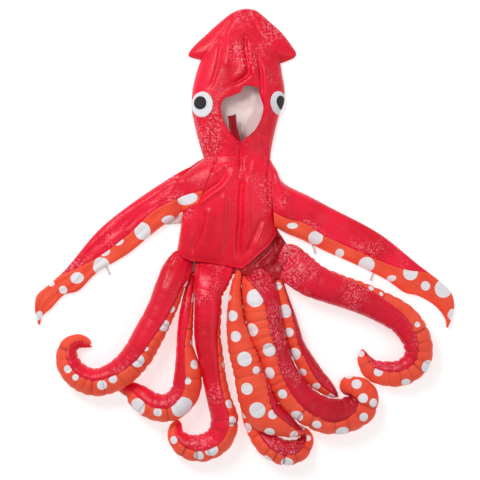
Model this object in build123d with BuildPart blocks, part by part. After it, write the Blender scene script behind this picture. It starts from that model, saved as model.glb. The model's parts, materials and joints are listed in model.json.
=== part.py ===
"""Child's octopus costume, laid flat on its back with its arms spread.

Frame: +X to the wearer's left hand as seen from the front, +Y from the hem to the
head, +Z up out of the floor. The origin is under the middle of the whole costume.
Lengths are in millimetres.
"""

import math
import os

from build123d import *

# ---- driving dimensions ----------------------------------------------------------
SKIN = 2.0              # sewn fabric ply with its backing
GAP = 0.3               # clear space between plies of different nodes
SEAM_Z = 3.0            # height of the side seams over the floor
BACK_PLY = 2.5          # thickness of the flat back panels
HOOD_HEIGHT = 62.0      # how far the hood front stands over its side seams
TUNIC_HEIGHT = 64.0     # how far the tunic front stands over its side seams
FIN_PLY = 2.5
FIN_HEIGHT = 38.0
FELT = 1.6              # felt of the eyes
LINING = 1.2            # lining ply
TALL = 150              # cutting height over the whole costume
SLEEVE_PLY = 4.0        # one padded sleeve ply
LOOP_BAND = 2.5         # elastic of the hand loops

# Hood cross-sections from the neck to the crown: y, left edge x, right edge x.
HOOD_STATIONS = [
    (247, -126, 75),
    (300, -143, 86),
    (357, -156, 101),
    (405, -159, 114),
    (445, -156, 122),
    (490, -145, 114),
    (530, -134, 108),
]

# Tunic cross-sections from the hem to the neck: y, left edge x, right edge x.
TUNIC_STATIONS = [
    (-100, -212, 118),
    (-45, -205, 108),
    (15, -196, 97),
    (75, -187, 88),
    (120, -196, 96),
    (165, -204, 102),
    (200, -166, 92),
    (238, -124, 75),
]

# Tentacles from the root to the tip: x, y, width, bottom z, height.
# The front row is sewn to the front hem, the back row lies half under it.
TENTACLES = {
    "a": {
        "red_side": -1,
        "stations": [
            (-184, -76, 58, 32, 16), (-196, -102, 70, 14, 52), (-220, -150, 80, 2, 78),
            (-250, -215, 80, 1, 80), (-285, -288, 86, 1, 84), (-331, -368, 86, 1, 84),
            (-392, -420, 78, 1, 78), (-452, -435, 76, 1, 72), (-500, -415, 68, 1, 64),
            (-526, -374, 54, 1, 54), (-524, -330, 38, 1, 38), (-496, -306, 22, 1, 22),
            (-470, -310, 8, 1, 8),
        ],
    },
    "b": {
        "red_side": -1,
        "stations": [
            (-158, -124, 8, 6, 12), (-165, -152, 14, 2, 34), (-170, -190, 24, 1, 52),
            (-176, -235, 34, 1, 62), (-181, -285, 38, 1, 66), (-182, -325, 42, 1, 70),
            (-176, -370, 62, 1, 76), (-174, -418, 80, 1, 78), (-186, -472, 82, 1, 78),
            (-226, -512, 80, 1, 78), (-278, -512, 72, 1, 70), (-318, -484, 54, 1, 46),
            (-338, -468, 30, 1, 22),
        ],
    },
    "c": {
        "red_side": -1,
        "stations": [
            (-92, -100, 112, 34, 16), (-100, -128, 104, 14, 52), (-107, -172, 88, 2, 78),
            (-110, -230, 86, 1, 82), (-113, -300, 82, 1, 82), (-102, -360, 80, 1, 82),
            (-93, -425, 76, 1, 80), (-78, -490, 80, 1, 80), (-64, -550, 82, 1, 80),
            (-78, -610, 78, 1, 76), (-128, -640, 72, 1, 70), (-180, -627, 62, 1, 60),
            (-203, -592, 40, 1, 40), (-203, -572, 20, 1, 22),
        ],
    },
    "d": {
        "red_side": 1,
        "stations": [
            (-26, -124, 16, 34, 16), (-27, -152, 20, 28, 40), (-32, -190, 28, 27, 56),
            (-33, -240, 40, 27, 62), (-29, -290, 58, 27, 64), (-15, -335, 66, 27, 66),
            (0, -385, 70, 27, 68), (14, -440, 74, 27, 68), (30, -495, 76, 27, 66),
            (60, -542, 74, 27, 62), (104, -570, 56, 27, 52), (146, -584, 34, 27, 34),
            (174, -587, 12, 27, 14),
        ],
    },
    "e": {
        "red_side": 1,
        "stations": [
            (-28, -124, 18, 14, 10), (-33, -170, 26, 1, 22), (-36, -240, 40, 1, 24),
            (-26, -310, 54, 1, 24), (-4, -385, 60, 1, 24), (8, -460, 62, 1, 24),
            (16, -525, 70, 1, 25), (30, -588, 68, 1, 40), (66, -632, 76, 1, 66),
            (114, -650, 74, 1, 68), (160, -638, 62, 1, 60), (184, -604, 40, 1, 24),
            (166, -580, 26, 1, 20), (142, -566, 12, 1, 14),
        ],
    },
    "f": {
        "red_side": 1,
        "stations": [
            (40, -110, 84, 34, 16), (42, -136, 96, 14, 54), (46, -180, 108, 2, 82),
            (55, -232, 110, 1, 88), (67, -286, 108, 1, 88), (84, -336, 98, 1, 86),
            (102, -390, 94, 1, 86), (126, -444, 98, 1, 86), (160, -492, 94, 1, 86),
            (206, -528, 88, 1, 84), (256, -545, 86, 1, 82), (306, -542, 80, 1, 76),
            (345, -512, 66, 1, 64), (347, -470, 46, 1, 46), (318, -450, 26, 1, 26),
        ],
    },
    "g": {
        "red_side": 1,
        "stations": [
            (101, -124, 14, 12, 12), (108, -150, 18, 2, 34), (120, -190, 24, 1, 44),
            (132, -230, 26, 1, 50), (145, -275, 28, 1, 54), (161, -325, 32, 1, 56),
            (187, -374, 38, 1, 58), (215, -414, 40, 1, 52), (240, -440, 26, 1, 34),
            (254, -454, 10, 1, 16),
        ],
    },
    "h": {
        "red_side": -1,
        "stations": [
            (134, -78, 84, 32, 16), (156, -90, 94, 14, 54), (198, -114, 100, 2, 82),
            (255, -146, 94, 1, 86), (330, -180, 90, 1, 84), (405, -212, 84, 1, 80),
            (470, -255, 80, 1, 76), (512, -318, 76, 1, 72), (510, -376, 66, 1, 64),
            (468, -404, 54, 1, 52), (420, -405, 48, 1, 46), (378, -392, 38, 1, 38),
            (362, -358, 20, 1, 22),
        ],
    },
}

# Outlines in plan.
HEM_LINE = [(-240, -44), (-207, -46), (-162, -71), (-15, -94), (99, 18), (180, 60)]
BACK_OUTLINE = [
    (-120, 238), (-166, 200), (-206, 166), (-198, 120), (-189, 75), (-198, 15),
    (-207, -45), (-165, -114), (110, -114), (112, -28), (99, 18), (90, 75),
    (98, 120), (104, 165), (92, 200), (75, 238),
]
FIN_OUTLINE = [
    (-134, 530.3), (-168, 545), (-152, 568), (-105, 612), (-42, 672), (9, 687),
    (48, 669), (120, 597), (153, 546), (108, 530.3),
]
FACE_OPENING = [(0, 453), (42, 444), (56, 396), (38, 340), (-12, 284), (-54, 328), (-75, 378), (-52, 432)]
FACE_CENTRE = (-9, 372)
BINDING_GROWTH = 1.10    # outer edge of the face binding over the opening

SLEEVE_LEFT_UPPER = [(-211, 180), (-351, 90), (-441, 15), (-543, -108), (-594, -150), (-625, -177)]
SLEEVE_LEFT_TIP = [(-630, -222), (-618, -261), (-609, -240)]
SLEEVE_LEFT_LOWER = [(-543, -177), (-504, -165), (-450, -112), (-351, -54), (-297, -12), (-252, 26), (-200, 45)]
SLEEVE_LEFT_BORDER = [(-543, -108), (-432, -54), (-339, 18), (-282, 72), (-206, 118)]
SLEEVE_RIGHT_UPPER = [(114, 157), (198, 114), (255, 84), (407, 9), (528, -84), (588, -132), (620, -168)]
SLEEVE_RIGHT_TIP = [(630, -210), (612, -270), (606, -246)]
SLEEVE_RIGHT_LOWER = [(567, -201), (519, -172), (483, -171), (426, -132), (327, -81), (177, -12), (134, 3), (100, 70)]
SLEEVE_RIGHT_BORDER = [(543, -105), (407, -72), (285, -18), (177, 42), (104, 72)]

os.makedirs("parts", exist_ok=True)
total_box = []


def finish_piece(builder, name):
    """Label a finished piece and write it as its own STEP file."""
    builder.part.label = name
    export_step(builder.part, f"parts/{name}.step")
    total_box.append(builder.part.bounding_box())


# ---- shells lofted between arched cross-sections -----------------------------------
def arch_sections(stations, height, grow, thickness):
    """Arched ply sections over y stations: grow moves the outer face out from the nominal one."""
    sections = []
    for y, left, right in stations:
        outer_a = (right - left) / 2 + grow
        outer_b = height + grow
        inner_a, inner_b = outer_a - thickness, outer_b - thickness
        frame = Plane(origin=((left + right) / 2, y, SEAM_Z), x_dir=(1, 0, 0), z_dir=(0, -1, 0))
        with BuildSketch(frame) as section:
            with BuildLine():
                EllipticalCenterArc((0, 0), outer_a, outer_b, 0, arc_size=180)
                Line((-outer_a, 0), (-inner_a, 0))
                EllipticalCenterArc((0, 0), inner_a, inner_b, 0, arc_size=180)
                Line((inner_a, 0), (outer_a, 0))
            make_face()
        sections.append(section.sketch.face())
    return sections


def outline_face(points, z=0.0, inset=0.0):
    """Flat face inside a closed outline in plan, at height z."""
    with BuildSketch(Plane.XY.offset(z)) as outline:
        with BuildLine():
            Polyline(*points, close=True)
        make_face()
        if inset:
            offset(amount=-inset, kind=Kind.INTERSECTION, mode=Mode.REPLACE)
    return outline.sketch.face()


def ellipse_face(centre, radius_x, radius_y):
    with BuildSketch(Plane.XY) as outline:
        with Locations(centre):
            Ellipse(radius_x, radius_y)
    return outline.sketch.face()


def face_opening_face(growth):
    """Face opening in plan at z = 20, grown about its centre."""
    cx, cy = FACE_CENTRE
    points = [(cx + growth * (x - cx), cy + growth * (y - cy)) for x, y in FACE_OPENING]
    with BuildSketch(Plane.XY.offset(20)) as outline:
        with BuildLine():
            Spline(*points, periodic=True)
        make_face()
    return outline.sketch.face()


# ---- hood ----------------------------------------------------------------------------
def make_hood():
    with BuildPart() as hood_front:
        loft(arch_sections(HOOD_STATIONS, HOOD_HEIGHT, 0, SKIN), ruled=True)
        extrude(face_opening_face(1.0), amount=TALL, mode=Mode.SUBTRACT)
    finish_piece(hood_front, "hood_front")

    left_edge = [(left, y) for y, left, _ in HOOD_STATIONS]
    right_edge = [(right, y) for y, _, right in reversed(HOOD_STATIONS)]
    with BuildPart() as hood_back:
        extrude(outline_face(left_edge + right_edge), amount=BACK_PLY)
    finish_piece(hood_back, "hood_back")

    with BuildPart() as hood_lining:
        extrude(outline_face(left_edge + right_edge, BACK_PLY + GAP, inset=8), amount=LINING)
    finish_piece(hood_lining, "hood_lining")

    with BuildPart() as face_binding:
        loft(arch_sections(HOOD_STATIONS, HOOD_HEIGHT, GAP + SKIN, SKIN), ruled=True)
        extrude(face_opening_face(BINDING_GROWTH), amount=TALL, mode=Mode.INTERSECT)
        extrude(face_opening_face(1.0), amount=TALL, mode=Mode.SUBTRACT)
    finish_piece(face_binding, "face_binding")

    eyes = {
        "left": ((-127, 399), (31, 31), (-135, 402), (18, 18)),
        "right": ((100, 405), (25, 34), (106, 403), (13, 21)),
    }
    for side, (patch_centre, patch_radii, pupil_centre, pupil_radii) in eyes.items():
        with BuildPart() as eye_patch:
            loft(arch_sections(HOOD_STATIONS, HOOD_HEIGHT, GAP + FELT, FELT), ruled=True)
            extrude(ellipse_face(patch_centre, *patch_radii), amount=TALL, mode=Mode.INTERSECT)
        finish_piece(eye_patch, f"eye_patch_{side}")
        with BuildPart() as pupil:
            loft(arch_sections(HOOD_STATIONS, HOOD_HEIGHT, 2 * (GAP + FELT), FELT), ruled=True)
            extrude(ellipse_face(pupil_centre, *pupil_radii), amount=TALL, mode=Mode.INTERSECT)
        finish_piece(pupil, f"pupil_{side}")

    with BuildPart() as chin_loop_pad:
        loft(arch_sections(HOOD_STATIONS, HOOD_HEIGHT, GAP + LINING, LINING), ruled=True)
        pad_outline = [(-50, 262), (-22, 262), (-22, 276), (-50, 276)]
        extrude(outline_face(pad_outline, 20), amount=TALL, mode=Mode.INTERSECT)
    finish_piece(chin_loop_pad, "chin_loop_pad")


TAB_Z = SEAM_Z + HOOD_HEIGHT + 2 * SKIN + 2 * GAP    # underside of the chin tab's hook pad


def make_chin_tab():
    with BuildPart() as hook_pad:
        with BuildSketch(Plane.XY.offset(TAB_Z)):
            with Locations((-38, 326)):
                RectangleRounded(20, 34, 4)
        extrude(amount=1.5)
    finish_piece(hook_pad, "chin_tab_hook_pad")
    with BuildPart() as chin_tab:
        with BuildSketch(Plane.XY.offset(TAB_Z + 1.5)):
            with BuildLine():
                Polyline((-50, 352), (-52, 292), (-22, 292), (-25, 345))
                TangentArc((-25, 345), (-50, 352), tangent=(-0.1, 1))
            make_face()
        extrude(amount=SKIN)
    finish_piece(chin_tab, "chin_tab")


# ---- fin -----------------------------------------------------------------------------
def make_fin():
    with BuildPart() as fin_back:
        extrude(outline_face(FIN_OUTLINE), amount=FIN_PLY)
    finish_piece(fin_back, "fin_back")
    with BuildPart() as fin_front:
        extrude(outline_face(FIN_OUTLINE, FIN_PLY + GAP), amount=FIN_HEIGHT - FIN_PLY - GAP)
        offset(amount=-FIN_PLY, openings=fin_front.faces().sort_by(Axis.Z)[0], kind=Kind.INTERSECTION)
        fillet(fin_front.faces().sort_by(Axis.Z)[-1].edges(), radius=2)
    finish_piece(fin_front, "fin_front")
    with BuildPart() as fin_filling:
        inside = outline_face(FIN_OUTLINE, FIN_PLY + 2 * GAP, inset=FIN_PLY + 1)
        extrude(inside, amount=FIN_HEIGHT - 2 * FIN_PLY - 3 * GAP)
    finish_piece(fin_filling, "fin_filling")


# ---- tunic -----------------------------------------------------------------------------
def make_tunic():
    above_hem = HEM_LINE + [(260, 300), (-300, 300)]
    with BuildPart() as tunic_front:
        loft(arch_sections(TUNIC_STATIONS, TUNIC_HEIGHT, 0, SKIN), ruled=True)
        extrude(outline_face(above_hem), amount=TALL, mode=Mode.INTERSECT)
    finish_piece(tunic_front, "tunic_front")

    with BuildPart() as side_panel:
        loft(arch_sections(TUNIC_STATIONS, TUNIC_HEIGHT - 8, -SKIN - 2 * GAP, SKIN), ruled=True)
        below_diagonal = [(-12, -98), (94, -98), (130, -40), (110, 40), (99, 14), (-10, -94)]
        extrude(outline_face(below_diagonal), amount=TALL, mode=Mode.INTERSECT)
    finish_piece(side_panel, "side_panel_right")

    with BuildPart() as tunic_back:
        extrude(outline_face(BACK_OUTLINE), amount=BACK_PLY)
    finish_piece(tunic_back, "tunic_back")

    with BuildPart() as tunic_lining:
        extrude(outline_face(BACK_OUTLINE, BACK_PLY + GAP, inset=14), amount=LINING)
    finish_piece(tunic_lining, "tunic_lining")

    with BuildPart() as hem_facing:
        loft(arch_sections(TUNIC_STATIONS, TUNIC_HEIGHT, -SKIN - GAP, LINING), ruled=True)
        hem_band = [(-180, -60), (-162, -70), (-15, -93), (-15, -76), (-162, -52), (-180, -42)]
        extrude(outline_face(hem_band, 8), amount=TALL, mode=Mode.INTERSECT)
    finish_piece(hem_facing, "hem_facing")

    with BuildPart() as placket:
        loft(arch_sections(TUNIC_STATIONS, TUNIC_HEIGHT, GAP + SKIN, SKIN), ruled=True)
        strip = [(-24, 60), (-10, 60), (-10, 232), (-24, 232)]
        extrude(outline_face(strip, 20), amount=TALL, mode=Mode.INTERSECT)
    finish_piece(placket, "front_placket")

    with BuildPart() as hanger_loop:
        with BuildSketch(Plane.XY.offset(BACK_PLY + LINING + 2 * GAP)):
            with Locations((-25, 216)):
                RectangleRounded(60, 14, 6.5)
                RectangleRounded(52, 8, 3.5, mode=Mode.SUBTRACT)
        extrude(amount=2)
    finish_piece(hanger_loop, "hanger_loop")

    with BuildPart() as label:
        with BuildSketch(Plane.XY.offset(BACK_PLY + LINING + 2 * GAP)):
            with Locations((-25, 184)):
                RectangleRounded(34, 40, 2)
        extrude(amount=0.8)
    finish_piece(label, "care_label")


# ---- sleeves -----------------------------------------------------------------------------
def sleeve_ply(name, outline, base_z):
    with BuildPart() as ply:
        extrude(outline_face(outline, base_z), amount=SLEEVE_PLY)
    finish_piece(ply, name)


def hand_loop(name, centre, turn):
    """Oval elastic loop, sewn to the lower edge of a sleeve."""
    with BuildPart() as loop:
        with BuildSketch(Plane.XY.offset(1)):
            with Locations(Location(centre, turn)):
                SlotOverall(26, 14)
                SlotOverall(26 - 2 * LOOP_BAND, 14 - 2 * LOOP_BAND, mode=Mode.SUBTRACT)
        extrude(amount=5)
    finish_piece(loop, name)


def make_sleeves():
    left_outline = SLEEVE_LEFT_UPPER + SLEEVE_LEFT_TIP + SLEEVE_LEFT_LOWER
    left_red = SLEEVE_LEFT_UPPER[:4] + SLEEVE_LEFT_BORDER[1:]
    right_outline = SLEEVE_RIGHT_UPPER + SLEEVE_RIGHT_TIP + SLEEVE_RIGHT_LOWER
    right_red = SLEEVE_RIGHT_UPPER[:5] + SLEEVE_RIGHT_BORDER
    sleeve_ply("sleeve_left_under", left_outline, 1.0)
    sleeve_ply("sleeve_left_top", left_red, 1.0 + SLEEVE_PLY + GAP)
    sleeve_ply("sleeve_right_under", right_outline, 1.0)
    sleeve_ply("sleeve_right_top", right_red, 1.0 + SLEEVE_PLY + GAP)
    hand_loop("hand_loop_left", (-409, -103), 60)
    hand_loop("hand_loop_right_upper", (212, -44), 115)
    hand_loop("hand_loop_right_lower", (382, -124), 115)


# ---- tentacles -----------------------------------------------------------------------------
def station_frames(stations):
    """Cross-section planes: local x to the left of travel, local y up."""
    frames = []
    last = len(stations) - 1
    for i, (x, y, width, bottom, height) in enumerate(stations):
        ahead = stations[min(i + 1, last)]
        behind = stations[max(i - 1, 0)]
        run = math.hypot(ahead[0] - behind[0], ahead[1] - behind[1])
        tx, ty = (ahead[0] - behind[0]) / run, (ahead[1] - behind[1]) / run
        frame = Plane(origin=(x, y, bottom + height / 2), x_dir=(-ty, tx, 0), z_dir=(tx, ty, 0))
        frames.append((frame, width / 2, height / 2))
    return frames


def half_tube_sections(frames, side):
    """Sections of half a tentacle's cover: side 1 is the left of travel and -1 the right."""
    start = -90 if side == 1 else 90
    sections = []
    for frame, half_width, half_height in frames:
        inner_width, inner_height = half_width - SKIN, half_height - SKIN
        with BuildSketch(frame) as section:
            with BuildLine():
                EllipticalCenterArc((0, 0), half_width, half_height, start, arc_size=180)
                Line((0, half_height), (0, inner_height))
                EllipticalCenterArc((0, 0), inner_width, inner_height, start, arc_size=180)
                Line((0, -half_height), (0, -inner_height))
            make_face()
        sections.append(section.sketch.face())
    return sections


def filling_sections(frames):
    sections = []
    for frame, half_width, half_height in frames:
        with BuildSketch(frame) as section:
            Ellipse(half_width - SKIN - GAP, half_height - SKIN - GAP)
        sections.append(section.sketch.face())
    return sections


def make_tentacles():
    for letter, shape in TENTACLES.items():
        frames = station_frames(shape["stations"])
        red = shape["red_side"]
        with BuildPart() as cover:
            loft(half_tube_sections(frames, red), ruled=True)
        finish_piece(cover, f"tentacle_{letter}_back")
        with BuildPart() as belly:
            loft(half_tube_sections(frames, -red), ruled=True)
        finish_piece(belly, f"tentacle_{letter}_belly")
        with BuildPart() as filling:
            loft(filling_sections(frames[1:-1]), ruled=True)
        finish_piece(filling, f"tentacle_{letter}_filling")


make_hood()
make_chin_tab()
make_fin()
make_tunic()
make_sleeves()
make_tentacles()

low = [min(getattr(box.min, axis) for box in total_box) for axis in "XYZ"]
high = [max(getattr(box.max, axis) for box in total_box) for axis in "XYZ"]
print("box low ", [round(value, 1) for value in low])
print("box high", [round(value, 1) for value in high])
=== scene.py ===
"""Looks of a child's hooded octopus costume, laid flat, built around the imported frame.

Lengths in the tables are millimetres in the frame's plan: +X to the right, +Y from the
hem to the head, +Z up from the floor. Blender objects are in metres.
"""

import json
import math

import bpy
import numpy as np
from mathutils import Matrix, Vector, noise

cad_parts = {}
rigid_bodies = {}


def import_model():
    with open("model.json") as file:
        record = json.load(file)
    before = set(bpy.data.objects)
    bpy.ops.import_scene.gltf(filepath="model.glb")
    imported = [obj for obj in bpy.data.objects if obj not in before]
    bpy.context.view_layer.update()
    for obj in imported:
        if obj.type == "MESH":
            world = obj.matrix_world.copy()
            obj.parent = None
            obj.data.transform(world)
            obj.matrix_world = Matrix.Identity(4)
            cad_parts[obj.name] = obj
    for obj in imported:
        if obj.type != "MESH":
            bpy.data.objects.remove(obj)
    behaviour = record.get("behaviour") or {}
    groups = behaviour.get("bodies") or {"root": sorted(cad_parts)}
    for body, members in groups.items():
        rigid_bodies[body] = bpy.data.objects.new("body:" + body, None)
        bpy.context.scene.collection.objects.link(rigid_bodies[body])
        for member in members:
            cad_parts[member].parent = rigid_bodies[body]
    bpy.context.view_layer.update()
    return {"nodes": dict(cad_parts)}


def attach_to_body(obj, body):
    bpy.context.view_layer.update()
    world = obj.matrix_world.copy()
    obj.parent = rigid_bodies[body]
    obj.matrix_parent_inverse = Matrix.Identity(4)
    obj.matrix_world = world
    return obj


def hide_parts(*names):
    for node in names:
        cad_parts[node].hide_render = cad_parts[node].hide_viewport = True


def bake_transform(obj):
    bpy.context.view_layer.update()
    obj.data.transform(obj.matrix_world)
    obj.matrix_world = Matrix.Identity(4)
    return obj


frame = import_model()
NODES = frame["nodes"]
SCENE = bpy.context.scene
MM = 0.001
STEP = 3.2            # spacing of the mesh points along a tentacle, mm
SEAM_Z = 3.0          # height of the side seams over the floor
FLOOR_CLEAR = 0.6     # least height of any cloth over the floor


# ---- materials
WAVE_PITCH = 0.314     # of a wave texture at scale 1, m
RING_PITCH = 0.009     # of the foil print, m


class Nodes:
    """A material's node tree, with short ways to add and join nodes."""

    def __init__(self, name):
        self.material = bpy.data.materials.new(name)
        self.material.use_nodes = True
        self.tree = self.material.node_tree
        self.shader = self.tree.nodes["Principled BSDF"]

    def node(self, kind, settings=None, **inputs):
        node = self.tree.nodes.new(kind)
        for key, value in (settings or {}).items():
            setattr(node, key, value)
        for key, value in inputs.items():
            self.put(node.inputs[key.replace("_", " ")], value)
        return node

    def add(self, kind, output, settings=None, **inputs):
        """One output of a new node."""
        return self.node(kind, settings, **inputs).outputs[output]

    def put(self, socket, value):
        if isinstance(value, bpy.types.NodeSocket):
            self.tree.links.new(value, socket)
        else:
            socket.default_value = value

    def surface(self, **inputs):
        """Sets or joins inputs of the shader; their names have _ for a space."""
        for key, value in inputs.items():
            self.put(self.shader.inputs[key.replace("_", " ")], value)

    def math(self, operation, a, b=0.0, c=0.0, clamp=False):
        node = self.node("ShaderNodeMath", {"operation": operation, "use_clamp": clamp})
        for socket, value in zip(node.inputs, (a, b, c)):
            self.put(socket, value)
        return node.outputs[0]

    def ramp(self, value, low, high, to_low=0.0, to_high=1.0):
        return self.add("ShaderNodeMapRange", 0, {"interpolation_type": "SMOOTHSTEP"}, Value=value,
                        From_Min=low, From_Max=high, To_Min=to_low, To_Max=to_high)

    def mix(self, share, a, b):
        node = self.node("ShaderNodeMix", {"data_type": "RGBA"})
        for i, value in ((0, share), (6, a), (7, b)):       # the factor and the two colours
            self.put(node.inputs[i], value)
        return node.outputs[2]

    def vector(self, operation, *values):
        node = self.node("ShaderNodeVectorMath", {"operation": operation})
        for socket, value in zip(node.inputs, values):
            self.put(socket, value)
        return node.outputs["Value" if operation == "LENGTH" else "Vector"]

    def attribute(self, name, output="Fac"):
        return self.add("ShaderNodeAttribute", output, {"attribute_name": name})

    def crease(self):
        """How deep the cloth is drawn into a crease, from the mesh, as a share of painted shade."""
        return self.ramp(self.attribute("crease"), 0.15, 1.0, 0.0, 0.75)

    def noise(self, vector, scale, detail=3.0, rough=0.5):
        return self.add("ShaderNodeTexNoise", "Fac", Vector=vector, Scale=scale, Detail=detail,
                        Roughness=rough)

    def bump(self, height, strength, distance, normal=None):
        under = {} if normal is None else {"Normal": normal}
        return self.add("ShaderNodeBump", "Normal", Height=height, Strength=strength, Distance=distance,
                        **under)

    def space(self):
        return self.add("ShaderNodeTexCoord", "Object")

    def cloth(self):
        """Place on the cut cloth, in metres, from the mesh's own attribute."""
        return self.attribute("cloth", "Vector")

    def weave(self, vector, pitch):
        """Height of a plain weave with this pitch, in metres."""
        threads = [self.add("ShaderNodeTexWave", "Fac", {"bands_direction": way}, Vector=vector,
                            Scale=WAVE_PITCH / pitch) for way in "XY"]
        return self.math("ADD", *threads)


def red_satin(name, bright, dark, print_amount, plain=None):
    """Red satin with a foil print of small rings; its glints are painted into the colour as pink, in
    patches, and its creases get painted shade.

    The print is left out inside plain, an ellipse given as its centre and radii in metres.
    """
    n = Nodes(name)
    cloth, space = n.cloth(), n.space()
    drift = n.add("ShaderNodeTexNoise", "Color", Vector=cloth, Scale=16.0, Detail=2.0)
    moved = n.vector("MULTIPLY_ADD", drift, (0.030, 0.030, 0.0), cloth)
    cells = n.add("ShaderNodeTexVoronoi", "Distance", {"voronoi_dimensions": "2D"}, Vector=moved,
                  Scale=1 / RING_PITCH, Randomness=0.50)
    amount = print_amount
    if plain:
        (x, y), (rx, ry) = plain
        offset = n.vector("MULTIPLY_ADD", space, (1 / rx, 1 / ry, 0.0), (-x / rx, -y / ry, 0.0))
        amount = n.ramp(n.vector("LENGTH", offset), 0.80, 1.15, 0.12 * print_amount, print_amount)
    ring = n.ramp(n.math("ABSOLUTE", n.math("SUBTRACT", cells, 0.30)), 0.05, 0.15, 1.0, 0.0)
    # Where the print's glints are painted: in patches, broken up by a fine grain.
    patch = n.ramp(n.noise(space, 9.0, 3.0), 0.50, 0.64)
    painted_glint_grain = n.ramp(n.noise(cloth, 120.0, 2.0), 0.42, 0.60)
    foil_and_painted_glint = n.math("MULTIPLY", ring, n.math("MULTIPLY", patch, painted_glint_grain))
    foil_and_painted_glint = n.math("MULTIPLY", foil_and_painted_glint, amount, clamp=True)
    ground = n.mix(n.ramp(n.noise(space, 6.0, 4.0), 0.35, 0.65), dark, bright)
    worn = n.math("MULTIPLY", n.ramp(n.noise(space, 17.0, 3.0), 0.38, 0.62), amount)
    etched = n.math("MULTIPLY", n.ramp(cells, 0.25, 0.60, 0.0, 0.42), worn, clamp=True)
    ground = n.mix(etched, ground, (dark[0] * 0.60, dark[1] * 0.5, dark[2] * 0.6, 1))
    # Painted shade: the colour darkens where the cloth is drawn into a crease.
    ground = n.mix(n.crease(), ground, (dark[0] * 0.35, dark[1] * 0.3, dark[2] * 0.3, 1))
    # Painted glint: pink mixed into the colour on the rings in the glint patches; their lower roughness is
    # the foil's own.
    n.surface(Base_Color=n.mix(foil_and_painted_glint, ground, (1.0, 0.28, 0.34, 1)), Specular_IOR_Level=0.34,
              Roughness=n.ramp(foil_and_painted_glint, 0.0, 1.0, 0.34, 0.20),
              Sheen_Weight=0.03, Sheen_Roughness=0.35, Sheen_Tint=(1.0, 0.30, 0.36, 1))
    rings = n.bump(n.math("MULTIPLY", cells, amount), 0.30, 0.0012)
    creases = n.bump(n.noise(cloth, 24.0, 4.0, 0.55), 0.50, 0.005, rings)
    n.surface(Normal=n.bump(n.weave(cloth, 0.0011), 0.06, 0.0003, creases))
    return n.material


def orange_print(name):
    """Orange knit with printed white spots. The mesh carries how deep a point lies in a spot."""
    n = Nodes(name)
    cloth, space = n.cloth(), n.space()
    depth = n.attribute("spot")
    ragged = n.math("MULTIPLY", n.math("SUBTRACT", n.noise(cloth, 240.0, 2.0), 0.5), 1.2)
    spot = n.ramp(n.math("ADD", depth, ragged), -0.7, 0.7)
    tone = n.ramp(n.noise(space, 11.0, 4.0), 0.3, 0.7)
    ground = n.mix(tone, (0.94, 0.070, 0.030, 1), (1.0, 0.105, 0.048, 1))
    spot_tone = n.mix(n.noise(space, 14.0, 2.0), (0.80, 0.78, 0.83, 1), (0.95, 0.92, 0.94, 1))
    # Painted shade: the colour darkens in the creases of the knit.
    ground = n.mix(n.crease(), n.mix(spot, ground, spot_tone), (0.30, 0.010, 0.006, 1))
    n.surface(Base_Color=ground, Specular_IOR_Level=0.3, Roughness=n.ramp(spot, 0, 1, 0.52, 0.62),
              Sheen_Weight=0.08, Sheen_Roughness=0.5, Sheen_Tint=(1.0, 0.55, 0.42, 1))
    creases = n.bump(n.noise(cloth, 34.0, 4.0, 0.6), 0.30, 0.003)
    n.surface(Normal=n.bump(n.weave(cloth, 0.0012), 0.16, 0.0004, creases))
    return n.material


def plain_cloth(name, light, dark, rough, pitch, fuzz, sheen=0.3):
    """Plain woven or felted cloth in two close tones."""
    n = Nodes(name)
    space = n.space()
    tone = n.ramp(n.noise(space, 16.0, 4.0), 0.3, 0.7)
    n.surface(Base_Color=n.mix(tone, dark, light), Roughness=rough, Sheen_Weight=sheen)
    fibres = n.bump(n.noise(space, 900.0, 3.0, 0.7), fuzz, 0.0006)
    n.surface(Normal=n.bump(n.weave(space, pitch), 0.2, 0.0003, fibres))
    return n.material


def hook_tape(name):
    """Hook and loop tape: a dense field of small dark tufts."""
    n = Nodes(name)
    tufts = n.add("ShaderNodeTexVoronoi", "Distance", Vector=n.space(), Scale=900.0)
    n.surface(Base_Color=n.mix(tufts, (0.40, 0.01, 0.02, 1), (0.16, 0.005, 0.01, 1)), Roughness=0.85,
              Normal=n.bump(tufts, 0.9, 0.0010))
    return n.material


SATIN = red_satin("red_foil_satin", (0.98, 0.006, 0.045, 1), (0.76, 0.002, 0.022, 1), 0.85)
TUNIC_SATIN = red_satin("red_tunic_satin", (0.98, 0.006, 0.040, 1), (0.76, 0.002, 0.020, 1), 0.85,
                        ((-0.040, 0.020), (0.115, 0.190)))
# Copies of the red satin darkened with painted shade, fully and by half, for tentacles that lie in shade.
SATIN_WITH_PAINTED_SHADE = red_satin("red_satin_painted_shade", (0.70, 0.003, 0.026, 1), (0.50, 0.0012, 0.013, 1), 0.85)
SATIN_WITH_HALF_PAINTED_SHADE = red_satin("red_satin_half_painted_shade", (0.82, 0.0042, 0.034, 1), (0.58, 0.0014, 0.016, 1), 1.0)
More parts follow.
